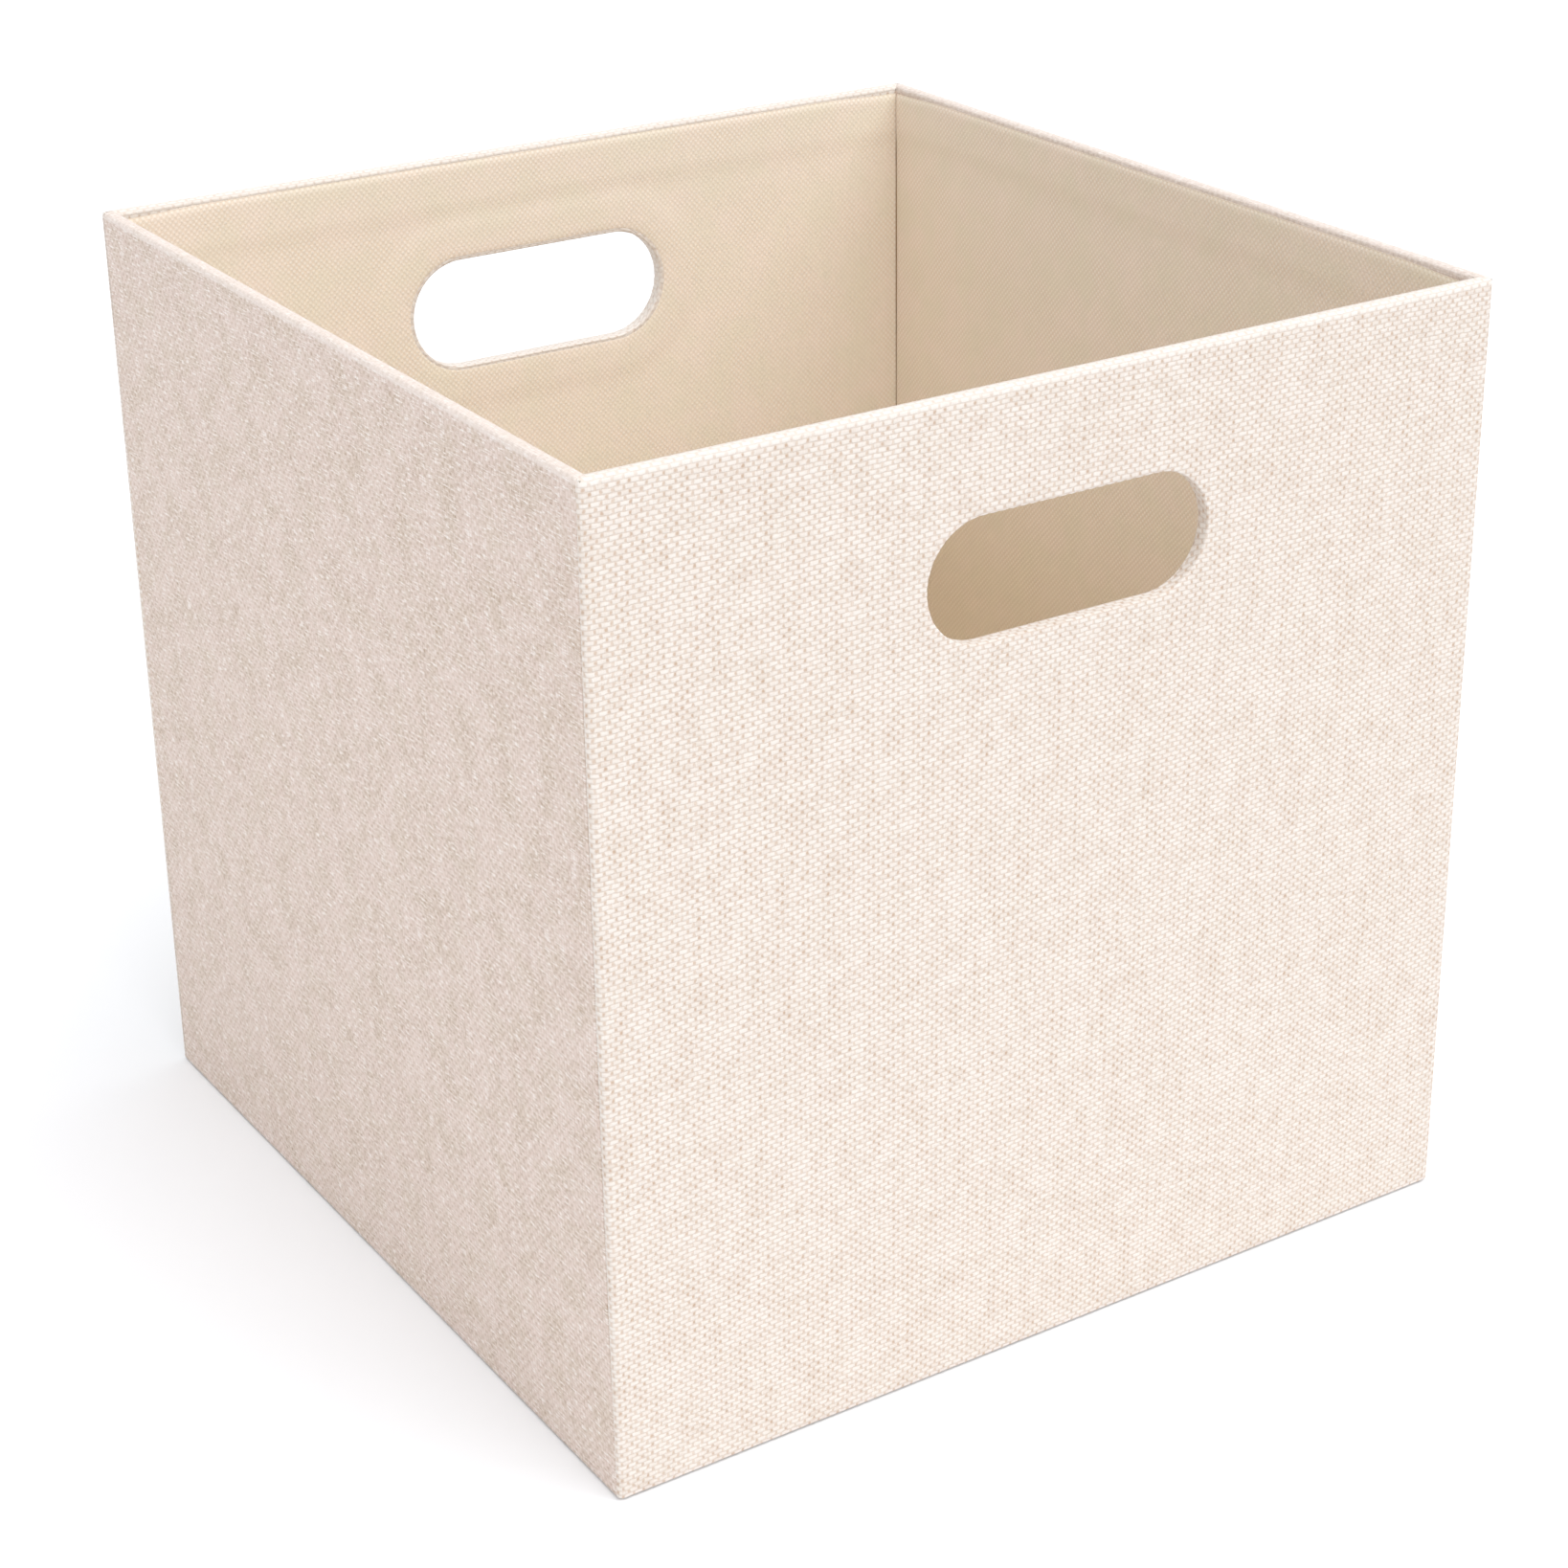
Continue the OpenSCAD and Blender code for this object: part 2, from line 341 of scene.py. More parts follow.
def endCover(name, wallName, corners, shift):
    # front or back cloth: it wraps both upright corners and carries a hand slot
    c, wall = outerCloth, walls[wallName]
    half, r = wall["half"], c["cornerRadius"]
    count = math.floor((half - r - c["cornerClear"]) / c["pitchU"])
    side = [("flat", k * c["pitchU"]) for k in range(1, count + 1)]
    side += [("turn", a) for a in quarterTurn()]
    side += [("wrap", share) for share in c["wrapRows"]] + [("edge", 1.0)]
    piece, places, bm, flat, dip = startSheet(name, bothSides(side, ("flat", 0.0)),
                                              profileRows(c["pitchV"]))
    for index, (sign, kind, value), (flatHeight, depth, height) in places:
        left = max(r - depth, 0.0)  # of the corner's radius at this depth
        start = half - depth - left
        v = bm.verts[index]
        if kind == "flat":
            along, deep = min(value, start), depth
            u = along
        elif kind == "turn":
            along = start + left * math.sin(value)
            deep = depth + left * (1 - math.cos(value))
            u = start + left * value
        else:
            along = half - depth
            end = seamPlace(height, corners[0 if sign < 0 else 1]) - c["seamGap"] / 2
            room = max(end - depth - left, 0.0)
            deep = depth + left + room * value
            u = start + left * math.pi / 2 + deep - depth - left
            if kind == "edge" and room > 0:
                v[dip] = c["seamDip"] * c["wrapDip"]
        v.co = wallPoint(wall, sign * along, deep, height)
        cuttable = kind == "flat" and depth == 0 and value < 0.6 * half
        v[flat] = Vector((sign * u, flatHeight, 1 if cuttable else 0))
    openSlot(bm, flat, wall, c["slotRadius"], 0.0, slotRings(), False)
    return finishSheet(piece, bm, flat, dip, c["thickness"], shift, reliefShare=1.0)


def sideCover(name, wallName, corners, shift):
    # left or right cloth: turned a quarter, with a folded edge beside each upright corner
    c, wall = outerCloth, walls[wallName]
    half = wall["half"]
    nearest = seam["least"] + seam["swell"] * seam["widest"] + 2 * seam["wobble"] + seam["clear"]
    count = math.floor((half - nearest) / c["pitchV"])
    side = [("flat", k * c["pitchV"], 0) for k in range(1, count + 1)]
    side += [("seam", *row) for row in seam["foldRows"]]
    piece, places, bm, flat, dip = startSheet(name, bothSides(side, ("flat", 0.0, 0)),
                                              profileRows(c["pitchU"]))
    for index, (sign, kind, value, dipShare), (flatHeight, depth, height) in places:
        along = value
        if kind == "seam":
            ends = seamPlace(height, corners[0 if sign < 0 else 1])
            along = half - ends - c["seamGap"] / 2 - value
        along = min(along, half - depth)
        v = bm.verts[index]
        v.co = wallPoint(wall, sign * along, depth, height)
        v[flat] = Vector((sign * along, flatHeight, 0))
        v[dip] = c["seamDip"] * dipShare
    return finishSheet(piece, bm, flat, dip, c["thickness"], shift,
                       reliefShare=c["sideRelief"], turned=True)


liningCloth = {
    "thickness": 0.42 * mm,
    "spacing": 2.2 * mm,        # between points of the sheet
    "edgeRows": (0.0, 0.2 * mm, 0.5 * mm, 0.9 * mm, 1.6 * mm),
    "plainFrom": 3.5 * mm,      # even spacing starts this far from an edge
    "endClear": 0.02 * mm,
    "overTape": 0.2 * mm,
    "climb": 9.0 * mm,          # how softly it climbs onto the turned-in cloth
    "climbEnd": 0.5 * mm,       # it is up this far before the turned-in cloth's edge
    "climbRow": 0.8 * mm,       # between rows over that edge
    "climbRows": 3 * mm,        # even spacing starts again this far from it
    "edgeCurl": 0.42 * mm,
    "edgeSoft": 2.2 * mm,       # how far in the top edge's curl reaches
    "footSoft": 0.9 * mm,       # and the bottom edge's
    "foldSoft": 0.7 * mm,       # and the side fold's
    "curlPower": 1.5,
    "foldFollow": 12 * mm,      # width over which a fold follows its neighbour's face
    "cornerDrop": 1.0 * mm,     # its top edge is lower in the corners
    "cornerReach": 35 * mm,
    "cornerGap": 0.24 * mm,     # a side lining's fold to the face of its neighbour
    "foldRound": 0.30 * mm,
    "slotGap": 1.25 * mm,       # from the slot's cloth edge
    "slotEdge": 0.9 * mm,       # width of its own turned edge at the slot
    # rings of that edge: further out, above the cloth it lies on, and length used
    "slotTurn": ((0.35 * mm, 0.40 * mm, 0.5 * mm), (0.1 * mm, 0.24 * mm, 0.8 * mm),
                 (0, 0.06 * mm, 1.0 * mm)),
    "ripple": 0.10 * mm,
    "rippleLength": 55 * mm,
}


def edgedSteps(half):
    # places from side to side of a sheet, close together beside its edges
    c = liningCloth
    side = [-half + d for d in c["edgeRows"]]
    middle = evenSteps(-half + c["plainFrom"], half - c["plainFrom"], c["spacing"])
    return side + middle + [-s for s in reversed(side)]


def curled(size, reach, distance):
    return size * (1 - smooth(0, reach, distance)) ** liningCloth["curlPower"]


def wallLining(name, wallName, slotted, seed, shift):
    # the linings with a slot run behind the ends of the other two, whose edges are folded
    c, wall = liningCloth, walls[wallName]
    halfLength = wall["half"] - wallDepth - c["endClear"]
    if not slotted:
        halfLength -= liningDepth + c["cornerGap"]
    turnedEdge = rimTop - outerCloth["turnedDown"]
    rows = [liningLow + d for d in c["edgeRows"]]
    rows += evenSteps(liningLow + c["plainFrom"], turnedEdge - c["climbRows"], c["spacing"])
    rows += [turnedEdge + k * c["climbRow"] for k in range(-2, 3)]
    rows += evenSteps(turnedEdge + c["climbRows"], liningTop - c["climbRows"], c["spacing"])
    rows += [liningTop - d for d in reversed(c["edgeRows"])]
    piece, places, bm, flat, dip = startSheet(name, edgedSteps(halfLength), rows)
    onBoard = clothDepth + boardDepth + c["overTape"] + liningDepth
    step = clothDepth - c["overTape"]

    def climbed(height):
        return smooth(turnedEdge - c["climb"], turnedEdge - c["climbEnd"], height)

    def surface(along, height):
        hump = climbed(height)
        if slotted:
            edge = outerCloth["turnedThrough"]
            hump = max(hump, 1 - smooth(edge + c["climbEnd"], edge + c["climb"],
                                        slotGap(along, height)[0]))
        depth = onBoard + step * hump
        depth -= curled(c["edgeCurl"], c["edgeSoft"], liningTop - height)
        depth -= curled(c["edgeCurl"], c["footSoft"], height - liningLow)
        if not slotted:
            depth -= curled(c["foldRound"], c["foldSoft"], halfLength - abs(along))
        wave = noise.noise(Vector((along / c["rippleLength"], height / c["rippleLength"], seed)))
        return depth + c["ripple"] * wave

    for index, column, height in places:
        along = -column
        if not slotted:
            # its fold follows the neighbour's face, which stands out further near the rim
            near = smooth(halfLength - c["foldFollow"], halfLength, abs(along))
            along += math.copysign(step * (1 - climbed(height)) * near, along)
        drop = (c["cornerDrop"] * smooth(halfLength - c["cornerReach"], halfLength, abs(along))
                * smooth(0.9 * liningTop, liningTop, height))
        v = bm.verts[index]
        v.co = wallPoint(wall, along, surface(along, height), height - drop)
        v[flat] = Vector((-along, height, 1 if abs(along) < 0.6 * halfLength else 0))
    if slotted:
        gap, over = c["slotGap"], clothDepth + boardDepth + clothDepth
        rings = [(gap + out, over + above, used) for out, above, used in c["slotTurn"]]
        openSlot(bm, flat, wall, gap + c["slotEdge"], onBoard + step, rings, True)
    return finishSheet(piece, bm, flat, dip, c["thickness"], shift)


baseSheets = {
    "underThickness": 0.45 * mm,
    "curl": 0.3 * mm,
    "ripple": 0.1 * mm,         # of the one inside
    "rippleLength": 70 * mm,
}


def layFlat(name, halfX, halfY, height, thickness, down, seed, shift):
    c = baseSheets
    piece, places, bm, flat, dip = startSheet(name, edgedSteps(halfX), edgedSteps(halfY))
    sign = -1 if down else 1
    for index, column, y in places:
        x = column * sign
        fall = curled(c["curl"], liningCloth["footSoft"], min(halfX - abs(x), halfY - abs(y)))
        wave = 0.0
        if not down:
            place = Vector((x / c["rippleLength"], y / c["rippleLength"], seed))
            wave = c["ripple"] * noise.noise(place)
        v = bm.verts[index]
        v.co = Vector((x, y, height - sign * fall + wave))
        v[flat] = Vector((column, y, 0))
    return finishSheet(piece, bm, flat, dip, thickness, shift)


def colour(red, green, blue):
    # a paint-chart colour, 0 to 255, as the renderer's linear values
    def one(value):
        value /= 255
        return value / 12.92 if value <= 0.04045 else ((value + 0.055) / 1.055) ** 2.4
    return (one(red), one(green), one(blue), 1)


class Wire:
    def __init__(self, tree, socket=None):
        self.tree, self.socket = tree, socket

    def node(self, kind, settings, values, out=0):
        made = self.tree.nodes.new(kind)
        for key, value in settings.items():
            setattr(made, key, value)
        for key, value in values.items():
            if isinstance(value, Wire):
                self.tree.links.new(value.socket, made.inputs[key])
            else:
                made.inputs[key].default_value = value
        return Wire(self.tree, made.outputs[out])

    def math(self, operation, *others):
        return self.node("ShaderNodeMath", {"operation": operation},
                         dict(enumerate((self, *others))))

    def __add__(self, other):
        return self.math("ADD", other)

    def __sub__(self, other):
        return self.math("SUBTRACT", other)

    def __rsub__(self, other):
        return self.node("ShaderNodeMath", {"operation": "SUBTRACT"}, {0: other, 1: self})

    def __mul__(self, other):
        return self.math("MULTIPLY", other)

    def __truediv__(self, other):
        return self.math("DIVIDE", other)

    __radd__ = __add__
    __rmul__ = __mul__

    def clipped(self):
        return self.math("MAXIMUM", 0.0).math("MINIMUM", 1.0)

    def between(self, low, high):
        return self.node("ShaderNodeMapRange", {"interpolation_type": "SMOOTHSTEP"},
                         {0: self, 1: low, 2: high, 3: 0.0, 4: 1.0})

    def mixed(self, first, second):
        # self is the share of the second colour
        return self.node("ShaderNodeMix", {"data_type": "RGBA", "blend_type": "MIX"},
                         {0: self, 6: first, 7: second}, out=2)

    def joined(self, x, y, z):
        return self.node("ShaderNodeCombineXYZ", {}, {0: x, 1: y, 2: z})

    def part(self, index):
        return self.node("ShaderNodeSeparateXYZ", {}, {0: self}, out=index)

    def onCloth(self):
        return self.node("ShaderNodeUVMap", {"uv_map": "cloth"}, {})

    def inPlace(self):
        return self.node("ShaderNodeTexCoord", {}, {}, out=3)

    def grain(self, place, scale, detail=2.0, roughness=0.5):
        return self.node("ShaderNodeTexNoise", {"noise_dimensions": "3D"},
                         {"Vector": place, "Scale": scale, "Detail": detail,
                          "Roughness": roughness})


def newMaterial(name, constants):
    material = bpy.data.materials.new(name)
    material.use_nodes = True
    tree = material.node_tree
    shader = tree.nodes["Principled BSDF"]
    for key, value in constants.items():
        shader.inputs[key].default_value = value
    return material, Wire(tree), shader


def connect(wire, shader, base, rough, strength, distance, relief):
    bump = wire.node("ShaderNodeBump", {}, {"Strength": strength, "Distance": distance,
                                            "Height": relief})
    for key, value in {"Base Color": base, "Roughness": rough, "Normal": bump}.items():
        wire.tree.links.new(value.socket, shader.inputs[key])


weaveLook = {
    "weft": colour(235, 228, 221),
    "warp": colour(223, 208, 195),
    "pinholeShade": colour(184, 152, 125),
    "row": colour(210, 193, 179),
    "slub": colour(200, 178, 158),
    "blush": colour(228, 209, 200),
    "tan": colour(208, 192, 171),
    "pale": colour(241, 236, 231),
    "pinholeShadeShare": 0.85,           # shares of each effect
    "rows": 0.62,
    "streaks": 0.62,
    "patches": 0.08,
    "paintedSlotLightShare": 0.42,           # painted light on the turned-in edge of the back slot
    # painted light along the rim
    "paintedRimLightShare": 0.45,
    "relief": 0.8,
    "bumpHeight": 0.00022,
}
# the side cloths are a darker, tanner copy of the cloth with more streaks: painted shade for the
# side walls, which face away from the light
shadedSideLook = dict(
    weaveLook, weft=colour(227, 211, 202), warp=colour(210, 191, 177),
    pinholeShade=colour(164, 132, 106), row=colour(200, 180, 165), slub=colour(158, 126, 100),
    pale=colour(243, 235, 230), pinholeShadeShare=0.45, rows=0.40, streaks=2.1, patches=0.42,
    paintedSlotLightShare=0.0, relief=0.5)


def weaveMaterial(name, look):
    material, wire, shader = newMaterial(name, {
        "Sheen Weight": 0.12, "Sheen Roughness": 0.6, "Specular IOR Level": 0.25})
    c = outerCloth
    place, spot = wire.onCloth(), wire.inPlace()
    u, v = place.part(0) / mm, place.part(1) / mm
    sideways, across, above = spot.part(0).math("ABSOLUTE"), spot.part(1), spot.part(2)

    def specks(width, height, seed, low, high, detail=2.0, roughness=0.5):
        # soft spots of this width and height in mm
        spread = wire.joined(u / width, v / height, seed)
        return wire.grain(spread, 1.0, detail, roughness).between(low, high)

    # the threads' places, each wandering a little
    wander = wire.grain(place, 160.0, 2.0) - 0.5
    drift = wire.grain(wire.joined(v * mm, u * mm, 0.7), 150.0, 2.0) - 0.5
    uneven = wire.grain(place, 620.0, 1.0) - 0.5
    p = u / (c["pitchU"] / mm) + wander * 0.6 + uneven * 0.5
    q = v / (c["pitchV"] / mm) + drift * 0.5 + uneven * 0.25
    thin, thick = p.math("ROUND"), q.math("ROUND")
    offMiddle = q - thick
    offSquared = offMiddle * offMiddle
    # each thick thread rides over one thin thread and dives under the next
    riding = ((p - thick) * math.pi).math("COSINE") * 0.5 + 0.5
    afloat = riding.between(0.02, 0.30)
    weftRound = (1 - offMiddle * offMiddle * 3.9).math("MAXIMUM", 0.0).math("SQRT")
    weftTone = wire.grain(wire.joined(u / 9.0, thick * 3.71, 0.0), 1.0, 2.0)
    warpTone = wire.grain(wire.joined(thin * 3.71, v / 14.0, 4.2), 1.0, 2.0)
    height = weftRound * (0.35 + 0.65 * afloat)
    fibre = wire.grain(wire.joined(u / 0.9, v / 0.25, 1.0), 1.0, 2.0)
    # painted shade in the pinholes where a thick thread dives, deeper along some thin threads than
    # others
    holeTone = (2.4 * (warpTone - 0.28) + 0.8 * (weftTone - 0.5)).clipped()
    pinholeShade = ((1 - riding.between(0.0, 0.24)) * (1 - offSquared.between(0.02, 0.16))
               * holeTone)
    # the grooves between rows of thick threads, where shade falls
    rowGapShade = (offSquared * 4.0).between(0.14, 1.0)
    # short thin streaks of thicker and darker yarn along both ways of the weave
    slub = specks(2.8, 0.46, 2.0, 0.50, 0.70)
    cross = specks(0.46, 2.4, 3.0, 0.52, 0.72)
    bright = specks(0.5, 4.5, 8.0, 0.50, 0.70)
    gather = specks(16.0, 12.0, 5.0, 0.36, 0.66, 3.0)
    patch = specks(12.0, 14.0, 11.0, 0.40, 0.66, 3.0, 0.6)
    streaks = ((slub * 0.42 + cross * 0.42) * (0.35 + 0.65 * gather)
               * look["streaks"]).clipped()
    rowTone = ((weftTone - 0.42) * 1.3 + (warpTone - 0.45) * 0.7).clipped()
    # the colours, laid one over another
    yarn = afloat.mixed(look["warp"], look["weft"])
    toned = rowTone.mixed(yarn, look["row"])
    tinted = streaks.mixed(toned, look["slub"])
    blushed = ((1 - patch) * look["patches"]).mixed(tinted, look["blush"])
    tanned = (patch * look["patches"] * 0.7).mixed(blushed, look["tan"])
    lit = (bright * 0.5 * look["streaks"]).clipped().mixed(tanned, look["pale"])
    # painted shade in those grooves, in the row colour
    lined = (rowGapShade * look["rows"]).mixed(lit, look["row"])
    # painted shade darkens the pinholes
    holed = (pinholeShade * look["pinholeShadeShare"] * 0.85).mixed(lined, look["pinholeShade"])
    # painted light: paler along the rim, which faces the light, and on the back slot's turned-in
    # edge, which lies in shade
    paintedRimLight = above.between(rimTop - 3.0 * mm, rimTop - 1.5 * mm)
    paintedSlotLight = (across.between(0.5 * halfDepth, 0.6 * halfDepth)
              * (1 - across.between(halfDepth - 1.0 * mm, halfDepth - 0.4 * mm))
              * (1 - sideways.between(0.5 * halfWidth, 0.7 * halfWidth))
              * above.between(0.5 * rimTop, 0.6 * rimTop) * look["paintedSlotLightShare"])
    final = (paintedRimLight * look["paintedRimLightShare"]).math("MAXIMUM", paintedSlotLight).mixed(holed, look["pale"])
    connect(wire, shader, final, 0.80 + 0.16 * (1 - height), look["relief"],
            look["bumpHeight"], height + fibre * 0.2 + streaks * 0.3)
    return material


liningLook = {
    "ground": colour(240, 225, 207),
    "dot": colour(250, 241, 229),
    "pink": colour(252, 236, 225),
    "green": colour(240, 232, 212),
    # the colour of the painted shade low in the bin
    "deep": colour(202, 182, 146),
    "dotsAcross": 0.4685,       # dots for each mm, in two crossing rows
    "dotsUp": 0.4375,
    "pinkShare": 0.40,
    "greenShare": 0.6,
    "paintedShadeShare": 0.36,
    "paintedShadeBelow": (0.36, 0.66),  # full and gone, as shares of the rim's height
    "relief": 0.8,
    "bumpHeight": 0.00011,
}


def liningMaterial(name, look):
    material, wire, shader = newMaterial(name, {
        "Sheen Weight": 0.08, "Sheen Roughness": 0.5, "Specular IOR Level": 0.3})
    place, above = wire.onCloth(), wire.inPlace().part(2)
    u, v = place.part(0) / mm, place.part(1) / mm
    dots = ((u * (2 * math.pi * look["dotsAcross"])).math("COSINE")
            * (v * (2 * math.pi * look["dotsUp"])).math("COSINE"))
    raised = dots.between(-0.35, 0.75)
    haze = wire.grain(place, 45.0, 3.0, 0.55).between(0.35, 0.68)
    cloud = wire.grain(wire.joined(v * mm, u * mm, 0.3), 60.0, 3.0, 0.55).between(0.38, 0.7)
    fibre = wire.grain(place, 2600.0, 2.0)
    ground = raised.mixed(look["ground"], look["dot"])
    pink = (haze * look["pinkShare"]).mixed(ground, look["pink"])
    green = (cloud * look["greenShare"]).mixed(pink, look["green"])
    # painted shade: its colour is darker and deeper towards the base
    full, gone = look["paintedShadeBelow"]
    low = 1 - above.between(full * rimTop, gone * rimTop)
    final = (low * look["paintedShadeShare"]).mixed(green, look["deep"])
    connect(wire, shader, final, 0.74 + 0.12 * fibre, look["relief"], look["bumpHeight"],
            raised + fibre * 0.3)
    return material


boardLook = {
    "pale": colour(176, 168, 154), "dark": colour(150, 142, 128),
    "fleck": colour(112, 104, 94), "scale": 60.0, "stretch": (1, 1, 1),
}
tapeLook = {
    "pale": colour(203, 170, 128), "dark": colour(180, 146, 104),
    "fleck": colour(140, 108, 72), "scale": 70.0, "stretch": (1, 1, 3),
}


def fibreMaterial(name, look):
    # pressed paper fibre: grey board for the walls, brown kraft for the tape
    material, wire, shader = newMaterial(name, {"Specular IOR Level": 0.3})
    place = wire.inPlace()
    drawn = wire.node("ShaderNodeMapping", {}, {"Vector": place, "Scale": look["stretch"]})
    cloud = wire.grain(drawn, look["scale"], 4.0, 0.6).between(0.3, 0.7)
    fibres = wire.grain(drawn, look["scale"] * 9, 3.0, 0.7)
    flecks = wire.grain(place, look["scale"] * 5, 1.0).between(0.66, 0.74)
    base = cloud.mixed(look["dark"], look["pale"])
    final = (flecks * 0.5).mixed(base, look["fleck"])
    connect(wire, shader, final, 0.84 + 0.12 * cloud, 0.5, 0.0001, fibres)
    return material


outerMaterial = weaveMaterial("cream_weave", weaveLook)
# the side walls' copy of the cloth, darker and tanner with painted shade
shadedSideMaterial = weaveMaterial("cream_weave_sides_painted_shade", shadedSideLook)
innerMaterial = liningMaterial("dotted_lining", liningLook)
hiddenMaterials = {
    "_board": fibreMaterial("grey_board", boardLook),
    "_tape": fibreMaterial("kraft_tape", tapeLook),
}
for nodeName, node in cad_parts.items():
    for ending, material in hiddenMaterials.items():
        if nodeName.endswith(ending):
            node.data.materials.clear()
            node.data.materials.append(material)
print("materials ready")


def dress(piece, material, slotName, flatSize, held, restsOn, *nodes, area=None):
    piece.data.materials.clear()
    piece.data.materials.append(material)
    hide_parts(*nodes)
    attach(piece, "root")
    return piece


# how the outer cloth's flat sizes differ from the walls they cover
flatCut = {
    "turnsTake": 4 * mm,        # shorter, by what the rounded turns save
    "wrapsAdd": 6 * mm,         # wider, by the wrap round both corners
    "seamsTake": 4 * mm,        # narrower, by the neighbours' wraps
    "slotShare": 0.25,          # of the slot's hole is cut away, the rest is its turned edge
}
upAndOver = (outerCloth["turnedUnder"] + rimTop + wallDepth + outerCloth["turnedDown"]
             - flatCut["turnsTake"])
endFlat = (2 * halfWidth + flatCut["wrapsAdd"], upAndOver)
sideFlat = (2 * halfDepth - flatCut["seamsTake"], upAndOver)
slotHole = (slotWidth - slotHeight) * slotHeight + math.pi * slotHeight ** 2 / 4
endArea = endFlat[0] * endFlat[1] - flatCut["slotShare"] * slotHole
repeatU, repeatV = 2 * outerCloth["pitchU"], 2 * outerCloth["pitchV"]
cornerSeeds = {"frontLeft": 0.3, "frontRight": 1.7, "backRight": 2.9, "backLeft": 4.1}

# each outer cloth: its maker, material and flat size, its corners, and how many repeats of
# the weave along the roll it was cut
for wallName, maker, material, flatSize, area, corners, repeats in (
        ("front", endCover, outerMaterial, endFlat, endArea, ("frontLeft", "frontRight"), (0, 0)),
        ("back", endCover, outerMaterial, endFlat, endArea, ("backRight", "backLeft"), (120, 150)),
        ("left", sideCover, shadedSideMaterial, sideFlat, None, ("backLeft", "frontLeft"), (260, 20)),
        ("right", sideCover, shadedSideMaterial, sideFlat, None, ("frontRight", "backRight"), (400, 310))):
    cloth = maker(wallName + "_cloth", wallName, [cornerSeeds[corner] for corner in corners],
                  (repeats[0] * repeatU, repeats[1] * repeatV))
    dress(cloth, material, "outer_cloth", flatSize, "stretched", [wallName + "_board"],
          wallName + "_cover", area=area)
print("outer cloth in place")

liningHeight = liningTop - liningLow
for wallName, slotted, seed in (("front", True, 1.5), ("back", True, 5.5),
                                ("left", False, 9.5), ("right", False, 13.5)):
    sheet = wallLining(wallName + "_inner_lining", wallName, slotted, seed,
                       (seed * 0.1, seed * 0.07))
    size = (2 * (walls[wallName]["half"] - wallDepth), liningHeight)
    dress(sheet, innerMaterial, "lining_cloth", size, "stretched", [wallName + "_board"],
          wallName + "_lining", area=size[0] * size[1] - (slotHole if slotted else 0))

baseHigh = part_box("base_lining")[1]
floorSheet = layFlat("base_inner_lining", baseHigh.x, baseHigh.y, baseTop,
                     liningCloth["thickness"], False, 3.3, (2.1, 1.3))
dress(floorSheet, innerMaterial, "lining_cloth", (2 * baseHigh.x, 2 * baseHigh.y), "laid",
      ["base_board"], "base_lining")
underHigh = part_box("base_cover")[1]
underSheet = layFlat("base_under_cloth", underHigh.x, underHigh.y, 0.0,
                     baseSheets["underThickness"], True, 7.7, (3.1, 2.3))
dress(underSheet, outerMaterial, "outer_cloth", (2 * underHigh.x, 2 * underHigh.y), "laid",
      ["base_board"], "base_cover")
print("linings and base sheets in place")

studio = {
    "floorSize": 12.0,
    "floorDrop": 0.05 * mm,
    "floorColour": colour(245, 247, 250),
    "skyStrength": 0.62,
    "backdropStrength": 1.05,   # what the camera sees of the sky
    "sunStrength": 2.42,
    "sunFrom": (0.10, -0.41, 0.90),
    "sunSpread": 80,
    "fillStrength": 0.75,
    "fillPlace": (-1.05, -0.10, 0.07),
    "fillFrom": (-1, 0, 0.05),
    "fillSize": (0.12, 0.6),
}

bpy.ops.object.select_all(action="DESELECT")
bpy.ops.mesh.primitive_plane_add(size=studio["floorSize"], location=(0, 0, -studio["floorDrop"]))
floor = bpy.context.object
floor.name = "floor"
floor.data.materials.append(newMaterial("pale_floor", {
    "Base Color": studio["floorColour"], "Roughness": 0.9, "Specular IOR Level": 0.0})[0])

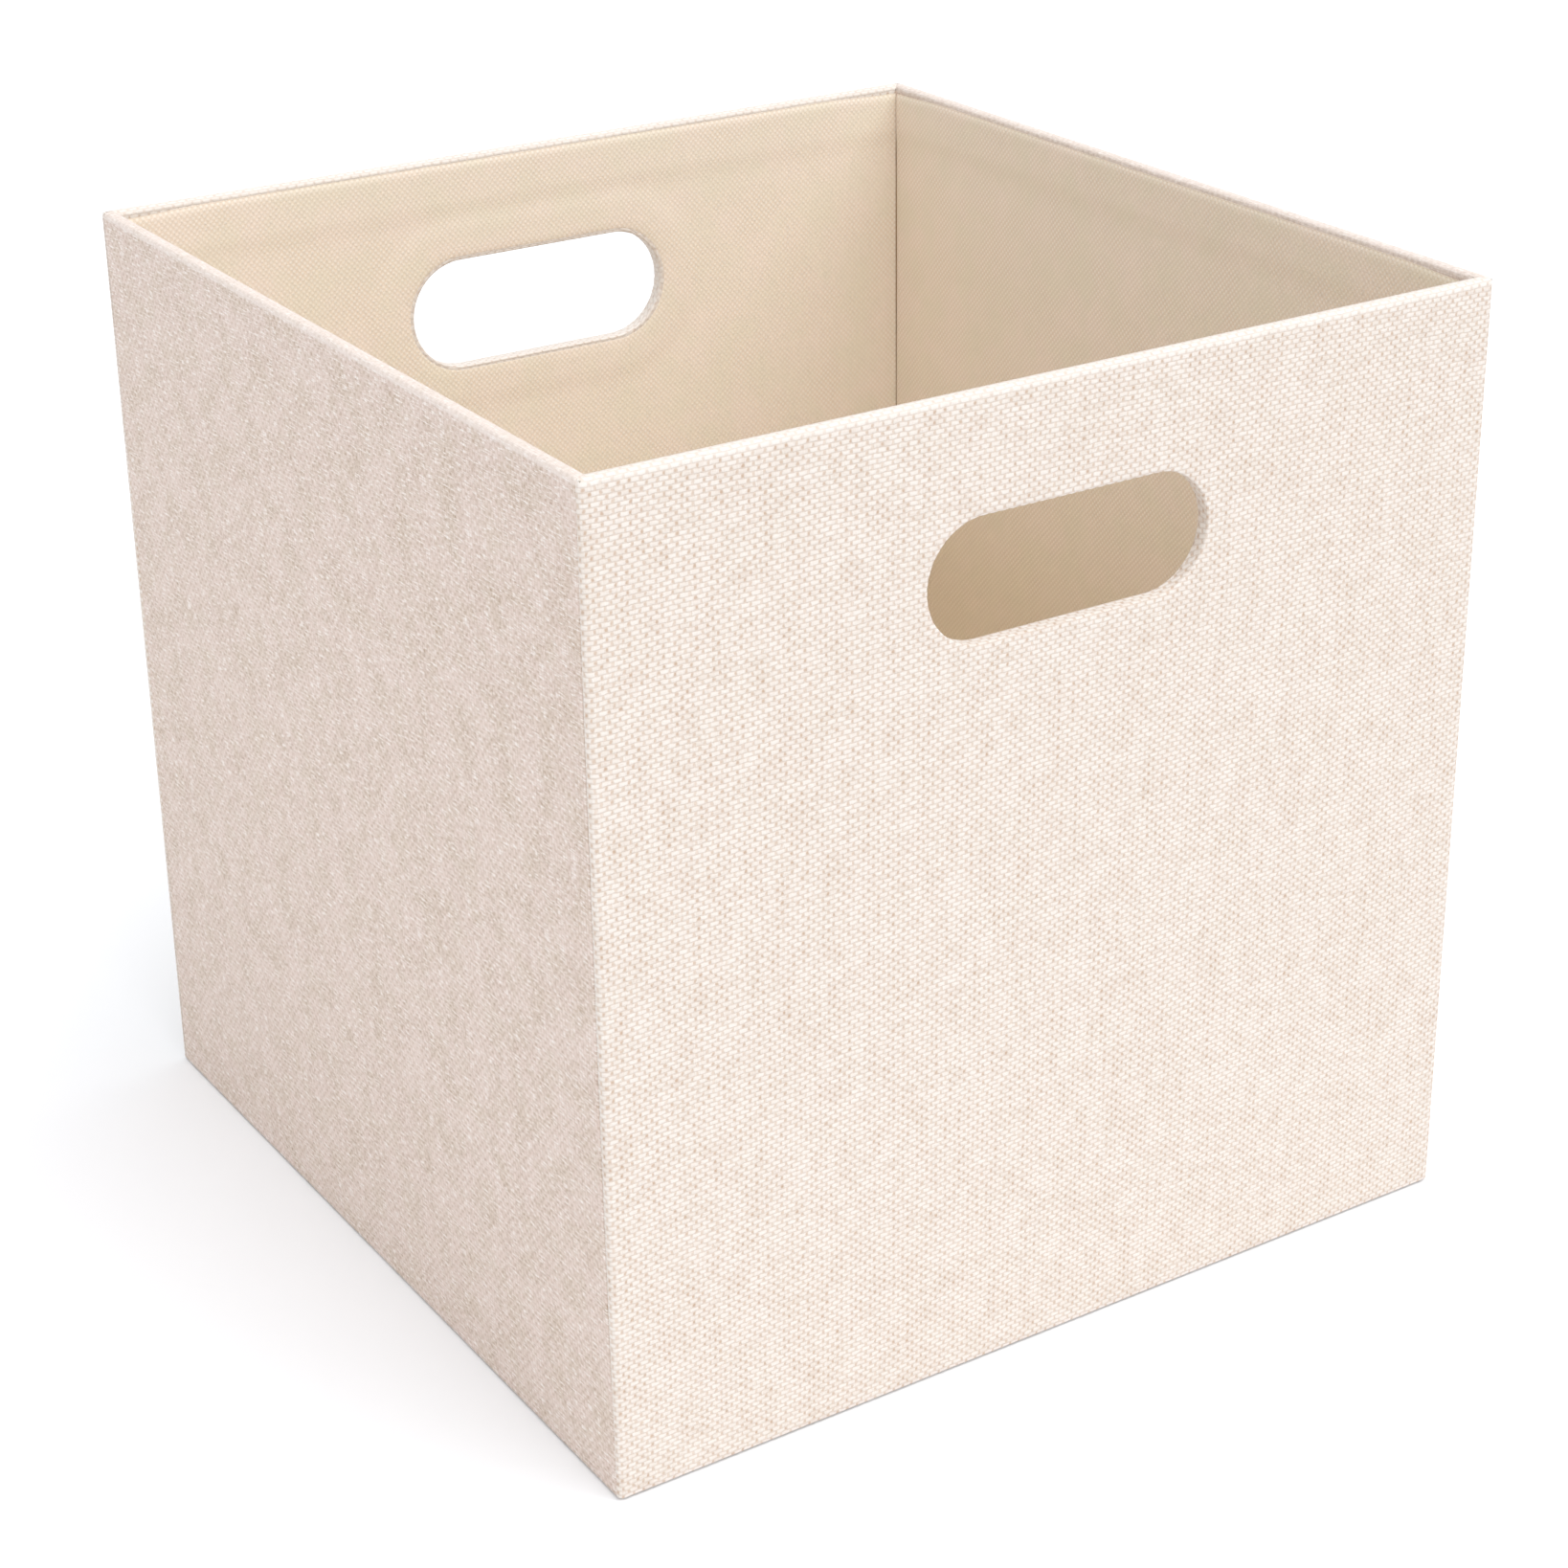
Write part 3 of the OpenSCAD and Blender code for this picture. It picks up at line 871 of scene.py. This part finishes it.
world = bpy.data.worlds.new("studio")
bpy.context.scene.world = world
world.use_nodes = True
seenByCamera = Wire(world.node_tree).node("ShaderNodeLightPath", {}, {}, out=0)
strength = (seenByCamera * (studio["backdropStrength"] - studio["skyStrength"])
            + studio["skyStrength"])
backdrop = world.node_tree.nodes["Background"]
backdrop.inputs["Color"].default_value = (1, 1, 1, 1)
world.node_tree.links.new(strength.socket, backdrop.inputs["Strength"])


def aimed(direction):
    # the turn of a light that shines from this direction
    return Vector(direction).to_track_quat("Z", "Y").to_euler()


bpy.ops.object.light_add(type="SUN")
sun = bpy.context.object
sun.name = "overhead_softbox"
sun.data.energy = studio["sunStrength"]
sun.data.angle = math.radians(studio["sunSpread"])
sun.rotation_euler = aimed(studio["sunFrom"])

bpy.ops.object.light_add(type="AREA", location=studio["fillPlace"])
fill = bpy.context.object
fill.name = "low_left_fill"
fill.data.shape = "RECTANGLE"
fill.data.size, fill.data.size_y = studio["fillSize"]
fill.data.energy = studio["fillStrength"]
fill.rotation_euler = aimed(studio["fillFrom"])
fill.visible_camera = False

view = {
    "place": (-0.56614, -0.89685, 0.62763),
    "toward": (0.49849, 0.76696, -0.40407),
    "roll": -0.599,
    "lens": 76.503,
    "sensor": 36,
    "shift": (-0.02123, -0.04091),
    "nearest": 0.01,
}

bpy.ops.object.camera_add()
camera = bpy.context.object
camera.name = "camera"
forward = Vector(view["toward"]).normalized()
level = forward.cross(Vector((0, 0, 1))).normalized()
upright = level.cross(forward)
roll = math.radians(view["roll"])
right = level * math.cos(roll) + upright * math.sin(roll)
above = upright * math.cos(roll) - level * math.sin(roll)
camera.matrix_world = Matrix((
    (right.x, above.x, -forward.x, view["place"][0]),
    (right.y, above.y, -forward.y, view["place"][1]),
    (right.z, above.z, -forward.z, view["place"][2]),
    (0, 0, 0, 1),
))
camera.data.sensor_width = view["sensor"]
camera.data.lens = view["lens"]
camera.data.shift_x, camera.data.shift_y = view["shift"]
camera.data.clip_start = view["nearest"]
bpy.context.scene.camera = camera
bpy.context.scene.view_settings.view_transform = "Standard"
print("studio ready")
